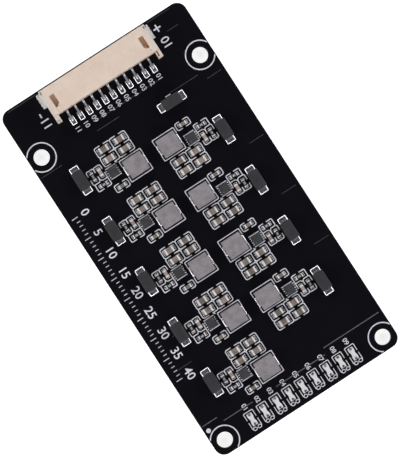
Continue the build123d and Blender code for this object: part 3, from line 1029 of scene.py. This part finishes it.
THIN_TRACKS = [
    ((-17.0, -27.2), (-10.2, -27.2)), ((1.5, -28.8), (7.0, -28.8)),
    ((17.0, -26.8), (22.0, -26.8)), ((-19.3, -38.3), (-16.6, -38.3)),
    ((16.6, 22.1), (20.0, 22.1)), ((16.6, 15.7), (17.3, 15.7)),
    ((-19.5, -42.05), (-13.9, -42.05)), ((13.8, -42.05), (20.5, -42.05)),
    ((-9.5, -30.7), (5.2, -30.7)),
]
EDGE_TRACK_YS = (15.6, 3.1, -9.4, -25.5)
EDGE_TRACK_ENDS = (-21.7, -18.2)
CELL_LINE_WIDTH, LAMP_LINE_WIDTH, RING_WIDTH = 0.22, 0.18, 0.26
BROAD_TRACK_WIDTH, THIN_TRACK_WIDTH = 0.2, 0.07
HOLES = [(side * 19.65, y) for side in (-1, 1) for y in (39.65, -30.45)]
RING_RADIUS = 3.05
# Printing keeps this far from the board's edge
EDGE_CLEARANCE = 0.02
# Lines that cross lie this much above each other, so that no two faces share a plane
INK_STAGGER, STAGGERS = 0.0006, 7
# Size of the lettering for figures one unit high, and what thickens their strokes
FIGURE_SIZE, FIGURE_STROKE = 1.38, 0.012
PLUS_X, PLUS_Y, PLUS_ARM = -15.1, -39.95, 0.85
MINUS_X, MINUS_Y, MINUS_ARM = 15.15, -37.75, 0.45
LAMP_NUMBER_DROP, CONTACT_NUMBER_Y = 2.95, -31.2
END_NUMBERS = [("01", -15.1, -36.4), ("11", 15.05, -35.8)]
TENTH_DIODE_DASH = [(-10.0, -26.95), (-8.8, -26.95)]
CORNER_DOT = (21.5, 36.2, 0.5)
SCALE_START, SCALE_LENGTH, SCALE_STEP = -16, 40, 5
SCALE_X, SHORT_TICK, LONG_TICK, SCALE_FIGURE_X = 20.1, 0.8, 1.4, 18.35


def circle(x, y, radius, steps):
    """Points round a circle, the first again at the end."""
    spots = []
    for step in range(steps + 1):
        angle = step * math.tau / steps
        spots.append((x + radius * math.cos(angle), y + radius * math.sin(angle)))
    return spots


def on_board(x, y, margin):
    """Whether a spot is inside the board's rounded outline by a margin."""
    reach = CORNER_RADIUS - margin
    past_x = max(abs(x) - (HALF_WIDTH - CORNER_RADIUS), 0.0)
    past_y = max(abs(y) - (HALF_LENGTH - CORNER_RADIUS), 0.0)
    return math.hypot(past_x, past_y) <= reach


def ring(x, y, radius, margin):
    """A ring as runs that stop at the board's edge."""
    steps = 120
    spots = circle(x, y, radius, steps)[:-1]
    inside = [on_board(*spot, margin) for spot in spots]
    if all(inside):
        return [(spots + spots[:1], 0)]
    start = next(i for i in range(steps) if inside[i] and not inside[i - 1])
    runs, run = [], []
    for step in range(steps + 1):
        index = (start + step) % steps
        if inside[index] and step < steps:
            run.append(spots[index])
        elif run:
            runs.append((run, 0))
            run = []
    return [entry for entry in runs if len(entry[0]) > 1]


def printed(name, runs, width, finish="ink"):
    """Prints lines of one width: each run is its points and the radius of its corners."""
    points, edges, corners = [], [], []
    for index, (run, corner) in enumerate(runs):
        lift = BOARD_TOP + INK_THICKNESS / 2 + INK_STAGGER * (index % STAGGERS)
        first = len(points)
        closed = len(run) > 2 and run[0] == run[-1]
        run = run[:-1] if closed else run
        points += [(x * MM, y * MM, lift * MM) for x, y in run]
        corners += [corner * MM] * len(run)
        edges += [(first + i, first + i + 1) for i in range(len(run) - 1)]
        if closed:
            edges.append((first + len(run) - 1, first))
    mesh = bpy.data.meshes.new("print")
    mesh.from_pydata(points, edges, [])
    give_points(mesh, "corner", "FLOAT", corners)
    values = {
        "Line Width": width * MM,
        "Ink Thickness": INK_THICKNESS * MM,
        "Material": FINISHES[finish],
    }
    keep(grown(name, mesh, LINES, values))


def figure_mesh(text, height, turn=0.0, spot=(0.0, 0.0, 0.0)):
    """Flat plain figures, their middle on a spot."""
    curve = bpy.data.curves.new("figure", "FONT")
    curve.body = text
    curve.size = height * MM * FIGURE_SIZE
    curve.align_x, curve.align_y = "CENTER", "CENTER"
    curve.extrude = INK_THICKNESS / 2 * MM
    curve.offset = FIGURE_STROKE * height * MM
    curve.resolution_u = 3
    source = in_scene("figure", curve)
    mesh = result_mesh(source)
    bpy.data.objects.remove(source)
    mesh.transform(Matrix.Translation(Vector(spot) * MM) @ Matrix.Rotation(turn, 4, "Z"))
    return mesh


def figures(name, labels, height):
    """Prints plain figures that read up the board: each is its text and its middle."""
    parts = []
    for text, x, y in labels:
        spot = (x, y, BOARD_TOP + INK_THICKNESS / 2)
        mesh = figure_mesh(text, height, QUARTER_TURN, spot)
        part = bmesh.new()
        part.from_mesh(mesh)
        bpy.data.meshes.remove(mesh)
        parts.append(part)
    keep(piece(name, mesh_of(*parts), FINISHES["ink"]))


def shifted(runs, x, y, angle):
    """Runs turned and moved to a place."""
    moved = []
    for points, corner in runs:
        spots = [turned(px, py, angle) for px, py in points]
        moved.append(([(x + px, y + py) for px, py in spots], corner))
    return moved


def print_outlines():
    """Outlines round the components and the lamps, and rings round the holes."""
    runs = []
    for place in cell_places():
        runs += shifted(CELL_LINES, *place)
    printed("cell_outlines", runs, CELL_LINE_WIDTH)
    runs = []
    for place in lamp_places():
        runs += shifted(LAMP_LINES, *place)
    printed("lamp_outlines", runs, LAMP_LINE_WIDTH)
    runs = []
    for x, y in HOLES:
        runs += ring(x, y, RING_RADIUS, RING_WIDTH / 2 + EDGE_CLEARANCE)
    printed("hole_rings", runs, RING_WIDTH)


def print_numbers():
    """Numbers by the lamps and the contacts, with larger ones at the connector's ends."""
    by_lamps = zip(reversed(LAMPS), lamp_places())
    labels = [(f"{number:02d}", x, y - LAMP_NUMBER_DROP) for number, (x, y, _) in by_lamps]
    figures("lamp_numbers", labels, 1.05)
    by_contacts = enumerate(contact_columns(), start=1)
    labels = [(f"{number:02d}", x, CONTACT_NUMBER_Y) for number, x in by_contacts]
    figures("contact_numbers", labels, 1.1)
    figures("end_numbers", END_NUMBERS, 1.9)


def print_marks():
    """A plus and a minus beside the connector, a dash by the tenth diode and a dot in a corner."""
    marks = [
        ([(PLUS_X - PLUS_ARM, PLUS_Y), (PLUS_X + PLUS_ARM, PLUS_Y)], 0),
        ([(PLUS_X, PLUS_Y - PLUS_ARM), (PLUS_X, PLUS_Y + PLUS_ARM)], 0),
        ([(MINUS_X, MINUS_Y - MINUS_ARM), (MINUS_X, MINUS_Y + MINUS_ARM)], 0),
    ]
    printed("pole_marks", marks, 0.34)
    printed("tenth_diode_mark", [(TENTH_DIODE_DASH, 0)], 0.25)
    dot = prism(circle(*CORNER_DOT, steps=32)[:-1], BOARD_TOP, BOARD_TOP + INK_THICKNESS)
    keep(piece("corner_dot", mesh_of(dot), FINISHES["ink"]))


def print_tracks():
    """Tracks that show faintly under the mask."""
    broad = [(list(line), 0) for line in BROAD_TRACKS]
    printed("broad_tracks", broad, BROAD_TRACK_WIDTH, "faint")
    thin = [(list(line), 0) for line in THIN_TRACKS]
    thin += [([(x, y) for x in EDGE_TRACK_ENDS], 0) for y in EDGE_TRACK_YS]
    printed("thin_tracks", thin, THIN_TRACK_WIDTH, "faint")


def print_scale():
    """A plain millimetre scale along the right edge, with a figure at every fifth line."""
    ticks, labels = [], []
    for step in range(SCALE_LENGTH + 1):
        y = SCALE_START + step
        is_long = step % SCALE_STEP == 0
        reach = LONG_TICK if is_long else SHORT_TICK
        ticks.append(([(SCALE_X, y), (SCALE_X + reach, y)], 0))
        if is_long:
            labels.append((str(step), SCALE_FIGURE_X, y))
    printed("scale_lines", ticks, 0.16)
    figures("scale_figures", labels, 1.9)


def coat_board():
    """The board itself keeps its solid and gets its solder mask."""
    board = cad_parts["circuit_board"]
    board.data.materials.clear()
    board.data.materials.append(FINISHES["mask"])


# Floor, light and camera, with the camera's place and the drop of the floor in millimetres and
# the other lengths in metres

CAMERA_PLACE = (15.0, -11.86, 600.98)
CAMERA_AHEAD = (-0.02502, 0.01942, -0.9995)
CAMERA_UP = (-0.54436, -0.83885, -0.00267)
PICTURE_WIDTH = 400
FOCAL_PIXELS = 2880.0
SENSOR = 36.0
SOFT_LAMP_SIDES = ((0, 1), (1, 0), (0, -1), (-1, 0))
SOFT_LAMP_REACH, SOFT_LAMP_HEIGHT = 0.6, 0.42
SOFT_LAMP_LENGTH, SOFT_LAMP_WIDTH = 0.55, 0.3
SOFT_LAMP_WATTS = 2.2
FLOOR_HALF = 3.0
FLOOR_DROP = 0.2
FLOOR_GLOW = 0.76
# Squares of the distances between which the floor's glow grows to full white
GLOW_FROM, GLOW_FULL = 0.02, 0.4
ROOM_LIGHT = 0.06
BACKDROP_SINE, CEILING_SINE = 0.5, 0.75


def make_camera():
    """Nearly straight above, with the connector at the picture's upper left."""
    camera = bpy.data.cameras.new("photo camera")
    camera.type = "PERSP"
    camera.sensor_fit = "HORIZONTAL"
    camera.sensor_width = SENSOR
    camera.lens = FOCAL_PIXELS / PICTURE_WIDTH * SENSOR
    camera.clip_start = 0.01
    camera.clip_end = 20.0
    viewer = in_scene("photo camera", camera)
    ahead = Vector(CAMERA_AHEAD).normalized()
    right = ahead.cross(Vector(CAMERA_UP)).normalized()
    up = right.cross(ahead)
    turn = Matrix((right, up, -ahead)).transposed().to_4x4()
    viewer.matrix_world = Matrix.Translation(Vector(CAMERA_PLACE) * MM) @ turn
    bpy.context.scene.camera = viewer


def make_floor():
    """A wide pale floor just under the board, white to the eye but for a faint shadow."""
    mesh = bpy.data.meshes.new("floor")
    part = bmesh.new()
    bmesh.ops.create_grid(part, x_segments=1, y_segments=1, size=FLOOR_HALF)
    bmesh.ops.translate(part, verts=part.verts, vec=(0, 0, -FLOOR_DROP * MM))
    part.to_mesh(mesh)
    part.free()
    finish = Finish("pale floor", roughness=0.9, specular=0.0)
    finish.hold("Base Color", (0.8, 0.8, 0.8, 1.0))
    finish.hold("Emission Strength", 1.0)
    far = finish.ramp(finish.x * finish.x + finish.y * finish.y, GLOW_FROM, GLOW_FULL)
    finish.feed("Emission Color", finish.seen() * (FLOOR_GLOW + (1.0 - FLOOR_GLOW) * far))
    mesh.materials.append(finish.material)
    in_scene("floor", mesh)


def make_world():
    """A dim room to light by, with a white backdrop for the eye and mirrors under a dim ceiling."""
    world = bpy.data.worlds.new("studio")
    bpy.context.scene.world = world
    world.use_nodes = True
    room = Shading(world.node_tree)
    height = room.split(room.add("ShaderNodeTexCoord", output="Generated"))[2]
    backdrop = room.seen() * room.ramp(height, CEILING_SINE, BACKDROP_SINE)
    background = world.node_tree.nodes["Background"]
    background.inputs["Color"].default_value = (1.0, 1.0, 1.0, 1.0)
    strength = ROOM_LIGHT + (1.0 - ROOM_LIGHT) * backdrop
    world.node_tree.links.new(strength.socket, background.inputs["Strength"])


def make_light():
    """Even studio light from four large soft lamps round the board."""
    for index, (x, y) in enumerate(SOFT_LAMP_SIDES):
        light = bpy.data.lights.new(f"soft lamp {index}", "AREA")
        light.shape = "RECTANGLE"
        light.size, light.size_y = SOFT_LAMP_LENGTH, SOFT_LAMP_WIDTH
        light.energy = SOFT_LAMP_WATTS
        lamp = in_scene(f"soft lamp {index}", light)
        spot = Vector((x * SOFT_LAMP_REACH, y * SOFT_LAMP_REACH, SOFT_LAMP_HEIGHT))
        lamp.location = spot
        lamp.rotation_euler = (-spot).to_track_quat("-Z", "Y").to_euler()


coat_board()
make_lands()
make_inductors()
make_chips()
make_passives()
make_diodes()
make_lamps()
make_connector()
print_outlines()
print_numbers()
print_marks()
print_tracks()
print_scale()
make_floor()
make_world()
make_light()
make_camera()
bpy.context.scene.view_settings.view_transform = "Standard"
